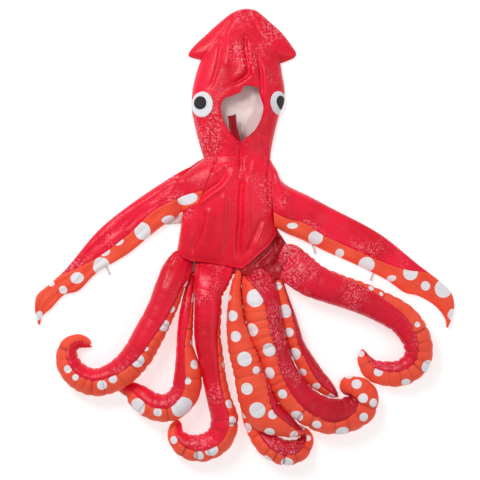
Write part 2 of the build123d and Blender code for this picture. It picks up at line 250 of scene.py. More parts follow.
# The darkest copy of the red satin, with painted shade, for cloth that lies in shade: the hem facing, the
# side panel and the chin tab.
SATIN_WITH_DARK_PAINTED_SHADE = red_satin("red_satin_dark_painted_shade", (0.44, 0.0008, 0.010, 1), (0.26, 0.0004, 0.005, 1), 0.2)
SPOTTED = orange_print("orange_spotted_knit")
LINING_CLOTH = plain_cloth("pale_lining", (0.92, 0.76, 0.74, 1), (0.84, 0.66, 0.65, 1), 0.55, 0.0010, 0.2)
WHITE_FELT = plain_cloth("white_felt", (0.84, 0.84, 0.88, 1), (0.74, 0.75, 0.80, 1), 0.85, 0.0016, 0.8)
BLACK_FELT = plain_cloth("black_felt", (0.022, 0.017, 0.024, 1), (0.012, 0.010, 0.014, 1), 0.8, 0.0016,
                         0.8, 0.08)
ELASTIC = plain_cloth("white_elastic", (0.80, 0.76, 0.76, 1), (0.66, 0.62, 0.63, 1), 0.7, 0.0009, 0.3)
LABEL = plain_cloth("label_tape", (0.82, 0.82, 0.80, 1), (0.72, 0.72, 0.70, 1), 0.5, 0.0007, 0.2)
HOOK = hook_tape("hook_tape")


# ---- camera, lights, floor
CAMERA_OVER = (-0.015, -0.009, 0.03)    # point of the costume under the camera, m
CAMERA_RISE = 4.6                       # from that point to the camera, m
FIELD = 1.44                            # width of the view at that point, m
SENSOR = 36.0                           # mm
FLOOR_HALF = 9.0                        # m
FLOOR_Z = -0.0004                       # just under the cloth, m


def make_camera():
    """Straight down over the costume, with a long lens."""
    view = bpy.data.cameras.new("view")
    view.sensor_width = SENSOR
    view.lens = SENSOR * CAMERA_RISE / FIELD
    view.clip_end = 50.0
    camera = bpy.data.objects.new("view", view)
    x, y, z = CAMERA_OVER
    camera.location = (x, y, z + CAMERA_RISE)
    SCENE.collection.objects.link(camera)
    SCENE.camera = camera


def area_light(name, place, size, power):
    """A square lamp that faces the frame's origin."""
    lamp = bpy.data.lights.new(name, "AREA")
    lamp.size = size
    lamp.energy = power
    obj = bpy.data.objects.new(name, lamp)
    obj.location = place
    obj.rotation_euler = (-Vector(place)).to_track_quat("-Z", "Y").to_euler()
    SCENE.collection.objects.link(obj)


def make_lights():
    world = bpy.data.worlds.new("studio")
    world.use_nodes = True
    sky = world.node_tree.nodes["Background"]
    sky.inputs["Color"].default_value = (1, 1, 1, 1)
    sky.inputs["Strength"].default_value = 0.50
    SCENE.world = world
    SCENE.view_settings.view_transform = "Standard"
    area_light("key", (-1.5, 1.9, 2.6), 1.2, 58)
    area_light("fill", (2.4, -0.6, 2.6), 2.2, 14)


def make_floor():
    """White paper that glows a little, so that its shadows stay as faint as in the photograph."""
    mesh = bpy.data.meshes.new("floor")
    corners = [(-1, -1), (1, -1), (1, 1), (-1, 1)]
    mesh.from_pydata([(FLOOR_HALF * x, FLOOR_HALF * y, FLOOR_Z) for x, y in corners], [], [(0, 1, 2, 3)])
    floor = bpy.data.objects.new("floor", mesh)
    SCENE.collection.objects.link(floor)
    paper = Nodes("white_paper")
    paper.surface(Base_Color=(0.60, 0.60, 0.60, 1), Roughness=0.9, Emission_Color=(1, 1, 1, 1),
                  Emission_Strength=0.56)
    mesh.materials.append(paper.material)


# ---- geometry helpers
SPANS = 24             # samples between two points of a spline, before they are evened


def run_along(points):
    """Distance along a line of points, in plan."""
    return np.concatenate([[0], np.cumsum(np.linalg.norm(np.diff(points[:, :2], axis=0), axis=1))])


def spline(points, count=None, step=STEP):
    """Even samples of a smooth curve through points. Distance is measured in plan."""
    p = np.asarray(points, float)
    ends = np.vstack([2 * p[0] - p[1], p, 2 * p[-1] - p[-2]])
    chords = np.linalg.norm(np.diff(ends[:, :2], axis=0), axis=1)
    knots = np.concatenate([[0], np.cumsum(chords ** 0.5 + 1e-6)])
    dense = []
    for i in range(1, len(ends) - 2):
        at = knots[i - 1:i + 3]
        t = np.linspace(at[1], at[2], SPANS, endpoint=False)[:, None]
        near = ends[i - 1:i + 3]
        for level in (1, 2):
            near = [((at[k + level] - t) * near[k] + (t - at[k]) * near[k + 1]) / (at[k + level] - at[k])
                    for k in range(4 - level)]
        dense.append(((at[2] - t) * near[0] + (t - at[1]) * near[1]) / (at[2] - at[1]))
    dense = np.vstack(dense + [p[-1:]])
    run = run_along(dense)
    if count is None:
        count = max(4, int(run[-1] / step) + 1)
    wanted = np.linspace(0, run[-1], count)
    return np.stack([np.interp(wanted, run, dense[:, k]) for k in range(p.shape[1])], 1)


def table_curve(table):
    """Smooth functions, one per column, from a table of (key, value, value, ...)."""
    t = np.asarray(table, float)
    columns = [spline(t[:, [0, k]], 400) for k in range(1, t.shape[1])]
    return [lambda key, c=c: np.interp(key, c[:, 0], c[:, 1]) for c in columns]


def smooth(x, low, high):
    t = np.clip((np.asarray(x, float) - low) / (high - low), 0, 1)
    return t * t * (3 - 2 * t)


def near_line(x, y, line):
    """Distance of points from a smooth open line, and the share run along it."""
    way = spline(line, step=6.0)
    best = np.full(np.shape(x), 1e9)
    share = np.zeros(np.shape(x))
    for i, (a, b) in enumerate(zip(way[:-1], way[1:])):
        d = b - a
        t = np.clip(((x - a[0]) * d[0] + (y - a[1]) * d[1]) / (d @ d), 0, 1)
        far = np.hypot(x - a[0] - t * d[0], y - a[1] - t * d[1])
        closer = far < best
        best = np.where(closer, far, best)
        share = np.where(closer, (i + t) / (len(way) - 1), share)
    return best, share


def folds(x, y, lines):
    """Height of soft folds. Each line is (points, height, width); below zero is a crease."""
    total = np.zeros(np.shape(x))
    for line, height, width in lines:
        far, share = near_line(x, y, line)
        fade = smooth(share, 0.0, 0.12) * (1 - smooth(share, 0.8, 1.0))
        total += height * np.exp(-(far / width) ** 2) * (0.15 + 0.85 * fade)
    return total


def ripple(x, y, scale, seed):
    """Smooth noise from -1 to 1 with features about scale across."""
    flat = [noise.noise(Vector((a / scale, b / scale, seed))) for a, b in zip(np.ravel(x), np.ravel(y))]
    return np.reshape(flat, np.shape(x))


def build(name, vertices, faces, material, cloth, **shares):
    """A smooth-shaded mesh object from millimetre vertices, with its cloth attributes."""
    mesh = bpy.data.meshes.new(name)
    mesh.from_pydata((np.asarray(vertices) * MM).tolist(), [], faces)
    mesh.materials.append(material)
    mesh.polygons.foreach_set("use_smooth", [True] * len(mesh.polygons))
    place = mesh.attributes.new("cloth", "FLOAT_VECTOR", "POINT")
    flat = np.zeros((len(vertices), 3), np.float32)
    flat[:, :2] = np.asarray(cloth) * MM
    place.data.foreach_set("vector", flat.ravel())
    for key, values in shares.items():
        share = mesh.attributes.new(key, "FLOAT", "POINT")
        share.data.foreach_set("value", np.asarray(values, np.float32).ravel())
    mesh.update()
    obj = bpy.data.objects.new(name, mesh)
    SCENE.collection.objects.link(obj)
    return obj


def grid_faces(rows, columns, flip=False, around=False, closed=False):
    """Quads of a grid of points, which can join around each row, and the last row to the first."""
    faces = []
    for i in range(rows if closed else rows - 1):
        for j in range(columns if around else columns - 1):
            here, above = i * columns, (i + 1) % rows * columns
            beside = (j + 1) % columns
            quad = (here + j, here + beside, above + beside, above + j)
            faces.append(quad[::-1] if flip else quad)
    return faces


def grid(name, points, material, cloth=None, flip=False, thickness=None, offset=-1.0, **shares):
    """A mesh from a grid of points, given as x, y and z, which broadcast to (rows, columns)."""
    points = np.stack(np.broadcast_arrays(*points), -1)
    rows, columns = points.shape[:2]
    if cloth is None:
        cloth = points[..., :2]
    obj = build(name, points.reshape(-1, 3), grid_faces(rows, columns, flip), material,
                np.reshape(cloth, (-1, 2)), **shares)
    if thickness:
        thicken(obj, thickness, offset)
    return obj


def thicken(obj, thickness, offset=-1.0):
    """Gives a sheet its thickness in millimetres, applied to the mesh."""
    solid = obj.modifiers.new("thickness", "SOLIDIFY")
    solid.thickness = thickness * MM
    solid.offset = offset
    bpy.context.view_layer.update()
    evaluated = obj.evaluated_get(bpy.context.evaluated_depsgraph_get())
    mesh = bpy.data.meshes.new_from_object(evaluated)
    obj.modifiers.clear()
    obj.data = mesh


def tube(name, path, radius, material, sides=10, closed=False):
    """A thin rolled edge or cord along a path of 3-D points."""
    path = np.asarray(path, float)
    count = len(path)
    ahead = np.roll(path, -1, 0) - np.roll(path, 1, 0)
    if not closed:
        ahead[0], ahead[-1] = path[1] - path[0], path[-1] - path[-2]
    ahead /= np.linalg.norm(ahead, axis=1)[:, None]
    side = np.cross(ahead, (0, 0, 1.0))
    side /= np.linalg.norm(side, axis=1)[:, None] + 1e-9
    up = np.cross(side, ahead)
    angle = np.linspace(0, 2 * math.pi, sides, endpoint=False)
    ring = np.cos(angle)[:, None] * side[:, None] + np.sin(angle)[:, None] * up[:, None]
    vertices = (path[:, None] + radius * ring).reshape(-1, 3)
    faces = grid_faces(count, sides, around=True, closed=closed)
    if not closed:
        faces.append(tuple(range(sides))[::-1])
        faces.append(tuple((count - 1) * sides + j for j in range(sides)))
    return build(name, vertices, faces, material, vertices[:, :2])


def arch(u, power=2.3, root=0.5):
    """A crowned section: 1 in the middle, where u is 0, and 0 at its edges, where u is -1 and 1."""
    return np.clip(1 - np.abs(u) ** power, 0, 1) ** root


def panel_points(left_edge, right_edge, low, high, rows, columns, margin=0.0):
    """Plan points of a panel between two edge curves, with u from -1 to 1 across it."""
    u = -np.cos(np.linspace(0, math.pi, columns))[None, :]
    y = np.repeat(np.linspace(low, high, rows)[:, None], columns, 1)
    left, right = left_edge(y) + margin, right_edge(y) - margin
    return u, (left + right) / 2 + u * (right - left) / 2, y


def across_panel(left_edge, right_edge, x, y):
    """The share across a panel at plan points, -1 at its left edge and 1 at its right."""
    left, right = left_edge(y), right_edge(y)
    return np.clip((x - (left + right) / 2) / np.maximum((right - left) / 2, 2), -1, 1)


def floor_panel(name, u, x, y, seed):
    """A satin back that lies on the floor and rises to the seams at its edges."""
    z = 1.4 + 1.7 * np.abs(u) ** 14 + 0.5 * ripple(x, y, 40, seed) * (1 - np.abs(u) ** 8)
    return grid(name, (x, y, z), SATIN, flip=True, thickness=0.8, offset=1.0)


def between(first, second, share):
    """Plan points, as x and y, at a share of the way from one curve to another."""
    share = share[..., None]
    plan = first * (1 - share) + second * share
    return plan[..., 0], plan[..., 1]


def attach(piece, body, slot, *nodes, joint=None):
    """Rides a piece on its body; given a joint (the parent body, the start and the end), it only bakes the
    piece's place into its mesh instead.

    The nodes are those of the CAD model that the piece stands for.
    """
    if joint:
        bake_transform(piece)
    else:
        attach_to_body(piece, body)
    if nodes:
        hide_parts(*nodes)


# ---- tunic
TUNIC_EDGES = [  # y, left x, right x
    (-124, -212, 122), (-100, -211, 118), (-45, -205, 108), (15, -196, 99), (75, -189, 94),
    (120, -196, 96), (165, -204, 102), (200, -170, 92), (238, -124, 75), (262, -118, 73),
]
HEM = np.array([  # x, y
    (-240, -40), (-204, -49), (-165, -69), (-111, -74), (-56, -82), (-16, -93), (-6, -91), (70, -24),
    (98, 16), (180, 60),
])
NECK_Y = 243.0
TUNIC_GRID = (112, 104)     # rows, columns
# Each fold, in every table of folds: line, height, width.
TUNIC_FOLDS = [
    ([(-6, 190), (-13, 120), (-14, 60), (-20, -10), (-17, -85)], -9, 8),
    ([(10, 190), (6, 110), (8, 20), (-4, -70)], 5, 11),
    ([(-60, 140), (-62, 60), (-72, -10), (-86, -65)], 4, 13),
    ([(-40, 120), (-46, 40), (-58, -60)], -3.5, 10),
    ([(-118, 80), (-134, 20), (-150, -20), (-163, -62)], -9, 8),
    ([(-104, 90), (-118, 20), (-132, -50)], 4, 11),
    ([(52, 60), (30, 0), (2, -60)], -6, 9),
    ([(72, 70), (52, 20), (20, -40)], 3.5, 10),
    ([(-150, 104), (-112, 138), (-78, 162), (-62, 190), (-66, 220)], -6, 6),
    ([(-140, 92), (-104, 122), (-70, 146), (-40, 186), (-34, 214)], 5, 6),
    ([(-34, 214), (-60, 214), (-92, 186)], 4, 6),
    ([(-12, 236), (-14, 200), (-24, 170)], -5, 6),
    ([(66, 228), (70, 150), (74, 90)], -6, 6),
    ([(82, 210), (80, 150), (90, 92)], 4, 6),
    ([(30, 235), (24, 200), (18, 160)], 3, 7),
    ([(-92, 240), (-90, 214), (-104, 190)], -4, 6),
]
tunic_left, tunic_right = table_curve(TUNIC_EDGES)


def hem_line(x):
    return np.interp(x, HEM[:, 0], HEM[:, 1])


def soft_folds(x, y):
    """Folds and waves shared by tunic and hood, so that they meet at the neck."""
    return 1.3 * folds(x, y, TUNIC_FOLDS + HOOD_FOLDS) + 1.7 * ripple(x, y * 0.5, 35, 3.0)


def tunic_height(x, y):
    """Height of the tunic's front cloth."""
    u = across_panel(tunic_left, tunic_right, x, y)
    rise = 56 - 14 * (1 - smooth(y, -110, 20)) - 11 * smooth(y, 190, NECK_Y)
    full = 2.3 + 3.5 * (1 - smooth(y, -100, 20))
    sewn_down = 9 * np.exp(-((y - hem_line(x)) / 13) ** 2)
    return SEAM_Z + rise * arch(u, full) + arch(u) * (soft_folds(x, y) - sewn_down)


def make_tunic_front():
    """The chest panel between the neck and the hem, which isn't straight."""
    u, x, y = panel_points(tunic_left, tunic_right, -90, NECK_Y, *TUNIC_GRID)
    up = np.linspace(0, 1, TUNIC_GRID[0])[:, None]
    for _ in range(6):      # settles x, which depends on y, and y, which depends on x
        left, right = tunic_left(y), tunic_right(y)
        x = (left + right) / 2 + u * (right - left) / 2
        y = hem_line(x) * (1 - up) + NECK_Y * up
    front = grid("tunic_front_cloth", (x, y, tunic_height(x, y)), TUNIC_SATIN, thickness=1.6)
    attach(front, "tunic", "red_satin", "tunic_front")


def make_tunic_back():
    """The printed back on the floor, and the lining on it."""
    u, x, y = panel_points(tunic_left, tunic_right, -112, NECK_Y, *TUNIC_GRID)
    back = floor_panel("tunic_back_cloth", u, x, y, 9.0)
    attach(back, "tunic", "red_satin", "tunic_back")
    z = 4.6 + 2.0 * np.abs(u) ** 6 + 0.6 * ripple(x, y, 30, 4.0)
    inner = (x + 30) * 0.93 - 30, y * 0.97 + 4, z
    lining = grid("tunic_lining_cloth", inner, LINING_CLOTH)
    attach(lining, "tunic", "lining", "tunic_lining")


def make_hem():
    """The turned edge along the front hem and the facing behind it."""
    x = np.linspace(-203, 99, 120)
    y = hem_line(x)
    z = tunic_height(x, y)
    edge = tube("hem_roll", spline(np.stack([x, y - 0.8, z - 0.4], 1), 150), 1.9, TUNIC_SATIN)
    attach(edge, "tunic", "red_satin")
    strip = x, y + np.array([0, 7, 14, 20])[:, None], np.maximum(z - 4.0, 2.0)
    facing = grid("hem_facing_strip", strip, SATIN_WITH_DARK_PAINTED_SHADE, flip=True)
    attach(facing, "tunic", "red_satin", "hem_facing")


SIDE_FOLDS = [
    ([(112, 4), (92, -50), (40, -96)], 7, 9),
    ([(124, -16), (104, -60), (70, -104)], -6, 8),
    ([(100, 10), (76, -40), (20, -92)], -6, 7),
    ([(128, -40), (112, -86), (96, -116)], 5, 8),
]


def make_side_panel():
    """Gathered satin between the front's slanting edge and the right-hand tentacles."""
    rows, columns = 46, 60
    t = np.linspace(0, 1, columns)
    top = spline([(-22, -92), (40, -40), (96, 24)], columns)
    low = spline([(-10, -112), (60, -128), (118, -116), (128, -70), (127, -24)], columns)
    down = np.linspace(0, 1, rows)[:, None]
    x, y = between(top, low, down)
    edge = tunic_height(np.clip(x, -200, 92), y)
    gathered = 5 * np.sin(t * 15) * smooth(down, 0.1, 0.6)
    z = np.minimum(edge, 40) - 6 + gathered + folds(x, y, SIDE_FOLDS)
    panel = grid("side_panel_right_cloth", (x, y, np.maximum(z, 6)), SATIN_WITH_DARK_PAINTED_SHADE, flip=True, thickness=1.4)
    attach(panel, "tunic", "red_satin", "side_panel_right")


# ---- hood
HOOD_EDGES = [  # y, left x, right x
    (226, -120, 78), (247, -127, 77), (300, -143, 86), (357, -156, 100), (378, -160, 107),
    (403, -161, 117), (445, -158, 119), (490, -148, 112), (530, -134, 105), (560, -116, 94),
    (590, -88, 74), (612, -50, 50), (626, -8, 16), (634, 3, 5),
]
HOOD_TOP = 624.0
FACE_OPENING = [  # x, y
    (-2, 452), (41, 448), (46, 423), (56, 390), (51, 359), (31, 319), (1, 293), (-13, 284), (-42, 307),
    (-65, 347), (-73, 393), (-62, 414), (-42, 422), (-14, 433),
]
HOOD_FOLDS = [
    ([(0, 608), (1, 565), (8, 520), (9, 488), (-24, 464), (-56, 446)], -8, 6),
    ([(-14, 604), (-12, 560), (-6, 500), (-28, 474)], 5, 8),
    ([(-2, 614), (38, 576), (52, 543), (74, 507), (107, 459)], -5, 5),
    ([(14, 560), (26, 520), (28, 470)], 5, 8),
    ([(31, 565), (45, 507), (49, 456), (51, 408), (60, 372)], -7, 5),
    ([(62, 520), (64, 460), (70, 400), (68, 350)], 5, 8),
    ([(-68, 598), (-75, 554), (-84, 507), (-101, 456), (-118, 436)], -5, 6),
    ([(-50, 590), (-52, 540), (-60, 500)], 4, 10),
    ([(-120, 400), (-104, 340), (-96, 300), (-92, 260)], -3.5, 10),
    ([(-20, 282), (-14, 262), (-12, 230)], -5, 5),
    ([(6, 280), (10, 262), (10, 230)], 3.5, 7),
    ([(52, 300), (60, 268), (66, 234)], -4, 7),
    ([(-60, 300), (-66, 264), (-80, 236)], -3.5, 7),
    ([(20, 300), (52, 306), (80, 330)], -2.5, 7),
]
FIN_EDGES = [  # y, left x, right x
    (524, -104, 104), (534, -128, 132), (541, -158, 146), (547, -169, 152), (556, -167, 152),
    (572, -155, 142), (612, -113, 112), (650, -70, 71), (672, -42, 46), (683, -19, 29), (687, 1, 9),
]
LINING_FOLDS = [
    ([(30, 430), (20, 380), (-6, 330), (-14, 290)], 4, 12),
    ([(-50, 400), (-10, 380), (40, 400)], -3, 10),
    ([(10, 440), (24, 400), (48, 370)], -3, 8),
    ([(-30, 380), (-4, 340), (10, 300)], -3, 7),
]
FIN_FOLDS = [
    ([(9, 684), (31, 638), (60, 587), (84, 556), (107, 529)], -6, 5),
    ([(-31, 676), (-68, 605), (-100, 565), (-130, 536)], -4, 7),
    ([(-10, 672), (-40, 632), (-60, 600)], 2.5, 14),
]
hood_left, hood_right = table_curve(HOOD_EDGES)
fin_left, fin_right = table_curve(FIN_EDGES)


def fin_height(x, y):
    u = across_panel(fin_left, fin_right, x, y)
    rise = (20 + 14 * (1 - smooth(y, 560, 670))) * (1 - 0.55 * smooth(y, 655, 689)) * smooth(y, 505, 560)
    return 6 + rise * arch(u, 2.0, 0.62) + arch(u) * folds(x, y, FIN_FOLDS)


def hood_height(x, y):
    """Height of the hood's front cloth. Above the crown it lies on the fin."""
    u = across_panel(hood_left, hood_right, x, y)
    rise = 56 - 11 * (1 - smooth(y, NECK_Y, 300)) - 6 * smooth(y, 480, 560) - 16 * smooth(y, 555, HOOD_TOP)
    z = SEAM_Z + rise * arch(u, 2.3, 0.52)
    fin = fin_height(x, y) + 0.5
    share = smooth(y, 500, 530)
    over = 0.5 * (z + fin + np.sqrt((z - fin) ** 2 + 60 * share * (1 - smooth(y, 600, HOOD_TOP))))
    z = z * (1 - share) + over * share
    return z + arch(u) * soft_folds(x, y)


def inside(x, y, outline):
    """True where points lie in a closed outline."""
    result = np.zeros(np.shape(x), bool)
    for (ax, ay), (bx, by) in zip(outline, np.roll(outline, -1, 0)):
        if ay == by:
            continue
        crosses = (ay > y) != (by > y)
        result ^= crosses & (x < (bx - ax) * (y - ay) / (by - ay) + ax)
    return result


def opening_edge(count=260):
    """The face opening's edge, with a square notch at its top."""
    side = spline(FACE_OPENING[1:], count)
    top = spline([FACE_OPENING[-1], FACE_OPENING[0], FACE_OPENING[1]], 24)[1:-1]
    return np.vstack([side, top])


def neck_joint(height):
    """Where cloth at this height bends with the hood's fold at the neck, m."""
    return "tunic", (-0.025, 0.236, height), (-0.025, 0.262, height)


def make_hood_front():
    """The hood's front cloth. Points beside the face opening slide to its edge."""
    edge = opening_edge()
    _, x, y = panel_points(hood_left, hood_right, NECK_Y - 5, HOOD_TOP, 124, 96)
    hole = inside(x, y, edge).ravel()
    cells = grid_faces(*x.shape)
    faces = [cell for cell in cells if not hole[list(cell)].any()]
    used = {i for cell in faces for i in cell}
    cut = {i for cell in cells if hole[list(cell)].any() for i in cell}
    flat = np.stack([x.ravel(), y.ravel()], 1)
    for i in used & cut:
        away = np.hypot(*(edge - flat[i]).T)
        flat[i] = edge[away.argmin()]
    order = sorted(used)
    new = {old: k for k, old in enumerate(order)}
    flat = flat[order]
    z = hood_height(flat[:, 0], flat[:, 1]) - 1.8 * (1 - smooth(flat[:, 1], NECK_Y - 3, NECK_Y + 3))
    faces = [tuple(new[i] for i in cell) for cell in faces]
    front = build("hood_front_cloth", np.column_stack([flat, z]), faces, SATIN, flat)
    thicken(front, 1.5)
    attach(front, "hood", "red_satin", "hood_front", joint=neck_joint(0.03))

    rim = np.column_stack([edge, hood_height(edge[:, 0], edge[:, 1]) - 0.6])
    binding = tube("face_opening_binding", rim[::2], 1.7, SATIN, closed=True)
    attach(binding, "hood", "red_satin", "face_binding")


def make_hood_back():
    u, x, y = panel_points(hood_left, hood_right, NECK_Y - 4, 532, 96, 96)
    back = floor_panel("hood_back_cloth", u, x, y, 2.0)
    attach(back, "hood", "red_satin", "hood_back", joint=neck_joint(0.0))


def make_hood_lining():
    """The lining in the hood, seen through the face opening: a shallow bowl of soft cloth."""
    u, x, y = panel_points(hood_left, hood_right, NECK_Y + 8, 522, 90, 96, margin=9)
    bowl = 5 + 17 * smooth(y, 256, 320) + 8 * np.abs(u) ** 3 + 4 * smooth(y, 440, 520) - 5 * u
    z = bowl + folds(x, y, LINING_FOLDS) + 1.2 * ripple(x, y, 26, 5.0)
    z = np.maximum(np.minimum(z, hood_height(x, y) - 7), 4.5)
    lining = grid("hood_lining_cloth", (x, y, z), LINING_CLOTH)
    attach(lining, "hood", "lining", "hood_lining")


def make_fin():
    rows, columns = 62, 90
    u, x, y = panel_points(fin_left, fin_right, 525, 687, rows, columns)
    z = fin_height(x, y) + 0.6 * ripple(x, y, 20, 1.0)
    front = grid("fin_front_cloth", (x, y, z), SATIN)
    attach(front, "hood", "red_satin", "fin_front", "fin_filling")
    z = 1.2 + 4.8 * np.abs(u) ** 6 + 0.4 * ripple(x, y, 30, 8.0)
    z = np.maximum(z, 6 * smooth(y, 680, 687))
    back = grid("fin_back_cloth", (x, y, z), SATIN, flip=True)
    attach(back, "hood", "red_satin", "fin_back")
    left_edge, right_edge = (np.stack([x[:, k], y[:, k], np.full(rows, 6.0)], 1) for k in (0, -1))
    seam = tube("fin_edge_seam", np.vstack([left_edge, right_edge[::-1]]), 1.5, SATIN)
    attach(seam, "hood", "red_satin")


def felt_patch(name, centre, radii, material, lift, thickness, point=0.0):
    """A felt disc laid on the hood's cloth. A pointed one is drawn out at its foot."""
    rings, spokes = 12, 48
    angle = 2 * math.pi * np.arange(spokes) / spokes
    out = np.arange(1, rings + 1)[:, None] / rings
    foot = np.maximum(0.0, -np.sin(angle))
    x = centre[0] + out * radii[0] * np.cos(angle) * (1 - point * 0.5 * foot ** 2)
    y = centre[1] + out * radii[1] * np.sin(angle) * (1 + point * foot ** 3)
    plan = np.vstack([centre, np.stack([x, y], -1).reshape(-1, 2)])
    faces = [(0, 1 + j, 1 + (j + 1) % spokes) for j in range(spokes)]
    for a, b, c, d in grid_faces(rings, spokes, around=True):
        faces.append((1 + a, 1 + d, 1 + c, 1 + b))
    left, right = hood_left(plan[:, 1]) + 0.8, hood_right(plan[:, 1]) - 0.8
    x = np.clip(plan[:, 0], left, right)
    z = hood_height(x, plan[:, 1]) + lift
    piece = build(name, np.column_stack([x, plan[:, 1], z]), faces, material, plan)
    thicken(piece, thickness, 1.0)
    return piece


EYES = [  # node, centre, radii, material, lift off the hood, thickness, point, slot
    ("eye_patch_left", (-128, 397), (32, 38), WHITE_FELT, 0.5, 1.6, 0.0, "white_felt"),
    ("pupil_left", (-134, 402), (18.5, 19.5), BLACK_FELT, 2.2, 1.5, 0.0, "black_felt"),
    ("eye_patch_right", (100, 404), (24, 33), WHITE_FELT, 0.5, 1.6, 0.12, "white_felt"),
    ("pupil_right", (107, 407), (12.5, 17), BLACK_FELT, 2.2, 1.5, 0.38, "black_felt"),
]


def make_eyes():
    for node, centre, radii, material, lift, thickness, point, slot in EYES:
        patch = felt_patch(node + "_felt", centre, radii, material, lift, thickness, point)
        attach(patch, "hood", slot, node)


def make_chin_tab():
    """The chin strap stands up in the face opening from its foot."""
    left = spline([(-42, 304), (-48, 330), (-49, 344), (-53, 359)], 30)
    right = spline([(-13, 285), (-18, 310), (-24, 332), (-27, 366)], 30)
    across = np.linspace(0, 1, 12)[None, :]
    x, y = between(left[:, None], right[:, None], across)
    foot = hood_height(np.array([-30.0]), np.array([288.0]))[0] - 4
    bow = 5 * np.sin(np.linspace(0, math.pi, 30))[:, None]
    z = foot + bow + 20 * (across - 0.5) ** 2 - 4 * np.exp(-((x + 33) / 5) ** 2)
    tab = grid("chin_tab_cloth", (x, y, z), SATIN_WITH_DARK_PAINTED_SHADE, flip=True, thickness=2.4)
    attach(tab, "chin_tab", "red_satin", "chin_tab", "chin_tab_hook_pad")


def make_chin_closure():
    """The loop pad under the chin and the placket down the chest."""
    x, y = np.meshgrid(np.linspace(-52, -24, 8), np.linspace(264, 277, 6))
    pad = grid("chin_loop_pad_tape", (x, y, hood_height(x, y) - 4.0), HOOK, thickness=1.0)
    attach(pad, "hood", "red_satin", "chin_loop_pad")
    x, y = np.meshgrid(np.linspace(-19, -5, 8), np.linspace(170, 282, 60))
    z = np.where(y > NECK_Y, hood_height(x, y), tunic_height(x, np.minimum(y, NECK_Y)))
    placket = grid("front_placket_strip", (x, y, z + 0.8), SATIN)
    attach(placket, "hood", "red_satin", "front_placket", joint=neck_joint(0.03))


# ---- sleeves
# The edges and the orange border are plan points from the shoulder to the cuff, and "blend" is
# where the shoulder's bend starts and ends, m. Each spot: x, y, radii, turn in degrees.
SLEEVES = {
    "left": {
        "upper": [
            (-82, 240), (-126, 236), (-168, 210), (-212, 186), (-352, 92), (-443, 17), (-545, -104),
            (-596, -149), (-627, -178), (-632, -222), (-622, -263)],
        "lower": [
            (-140, 100), (-184, 82), (-217, 54), (-254, 31), (-300, -6), (-353, -49), (-451, -110),
            (-505, -162), (-545, -173), (-587, -216), (-612, -238), (-620, -264)],
        "border": [
            (-130, 138), (-150, 133), (-176, 126), (-206, 114), (-255, 90), (-282, 72), (-339, 18),
            (-432, -54), (-500, -92), (-546, -112)],
        "sign": 1,
        "blend": ((-0.165, 0.118, 0.01), (-0.255, 0.095, 0.01)),
        "spots": [
            (-172, 114, 31, 17, 12), (-232, 54, 19, 10, 20), (-308, 18, 24, 26, 0),
            (-378, -15, 14, 9, 30), (-419, -47, 15, 9, 30), (-432, -88, 25, 27, 0),
            (-505, -123, 20, 17, 10), (-547, -159, 12, 12, 0), (-583, -141, 10, 8, 0),
            (-622, -237, 16, 10, 60), (-330, -48, 14, 9, 30)],
    },
    "right": {
        "upper": [
            (70, 240), (93, 202), (110, 167), (199, 119), (257, 88), (406, 8), (525, -87), (586, -134),
            (620, -168), (630, -210), (622, -244), (611, -272)],
        "lower": [
            (89, 34), (108, 22), (130, 10), (176, -9), (240, -40), (328, -79), (427, -128),
            (484, -167), (519, -175), (567, -201), (592, -226), (606, -250), (609, -273)],
        "border": [
            (76, 80), (88, 74), (108, 63), (140, 51), (177, 42), (230, 8), (285, -18), (407, -72),
            (480, -98), (543, -106)],
        "sign": -1,
        "blend": ((0.075, 0.10, 0.01), (0.165, 0.06, 0.01)),
        "spots": [
            (142, 34, 16, 9, 0), (212, -2, 22, 20, 0), (285, -48, 13, 13, 0), (366, -82, 24, 22, 0),
            (441, -124, 14, 9, 10), (498, -108, 22, 22, 0), (543, -147, 14, 14, 0), (597, -156, 26, 27, 0),
            (626, -234, 16, 18, 0)],
    },
}
OUTSIDE = -20.0       # depth in a printed spot, far outside every spot, mm


def spot_depth(x, y, spots):
    """How deep plan points lie inside the nearest printed spot, below zero outside, mm."""
    depth = np.full(np.shape(x), OUTSIDE)
    for cx, cy, rx, ry, turn in spots:
        c, s = math.cos(math.radians(turn)), math.sin(math.radians(turn))
        a = ((x - cx) * c + (y - cy) * s) / rx
        b = (-(x - cx) * s + (y - cy) * c) / ry
        depth = np.maximum(depth, (1 - np.hypot(a, b)) * min(rx, ry))
    return depth


def border_shares(upper, lower, border):
    """For each column, the share from the upper to the lower edge where the border lies."""
    way = spline(border, 500)
    shares = []
    for a, b in zip(upper, lower):
        d = b - a
        off = np.abs((way[:, 0] - a[0]) * d[1] - (way[:, 1] - a[1]) * d[0]) / (np.linalg.norm(d) + 1e-6)
        k = off.argmin()
        share = ((way[k] - a) @ d) / (d @ d + 1e-6)
        shares.append(share if off[k] < 4 or len(shares) < len(upper) / 2 else -1.0)
    return np.array(shares)


def sleeve_height(x, y, across, along, side):
    """Height of the sleeve's upper cloth; it rises onto the tunic at the shoulder."""
    edge = arch(2 * across - 1, 4.0, 0.5)
    puff = 30 * (1 - smooth(along, 0.0, 0.45)) + 13 - 5 * smooth(along, 0.5, 1.0)
    long_fold = np.sin(across * 14 + 3.0 * ripple(along * 900, across * 60, 180, 11.0 + side))
    z = 5 + puff * edge * (1 + 0.10 * ripple(x, y, 60, 13.0))
    z = z + edge * (1.5 * long_fold + 2.4 * ripple(along * 500, across * 240, 34, 17.0 + side))
    onto = tunic_height(np.clip(x, -195, 86), np.clip(y, 20, NECK_Y - 2)) + 0.9
    share = 1 - smooth(np.abs(x + 52), 112, 175) if side > 0 else 1 - smooth(x, 66, 124)
    return np.maximum(z, 0) * (1 - share) + np.maximum(onto, z * 0.0) * share


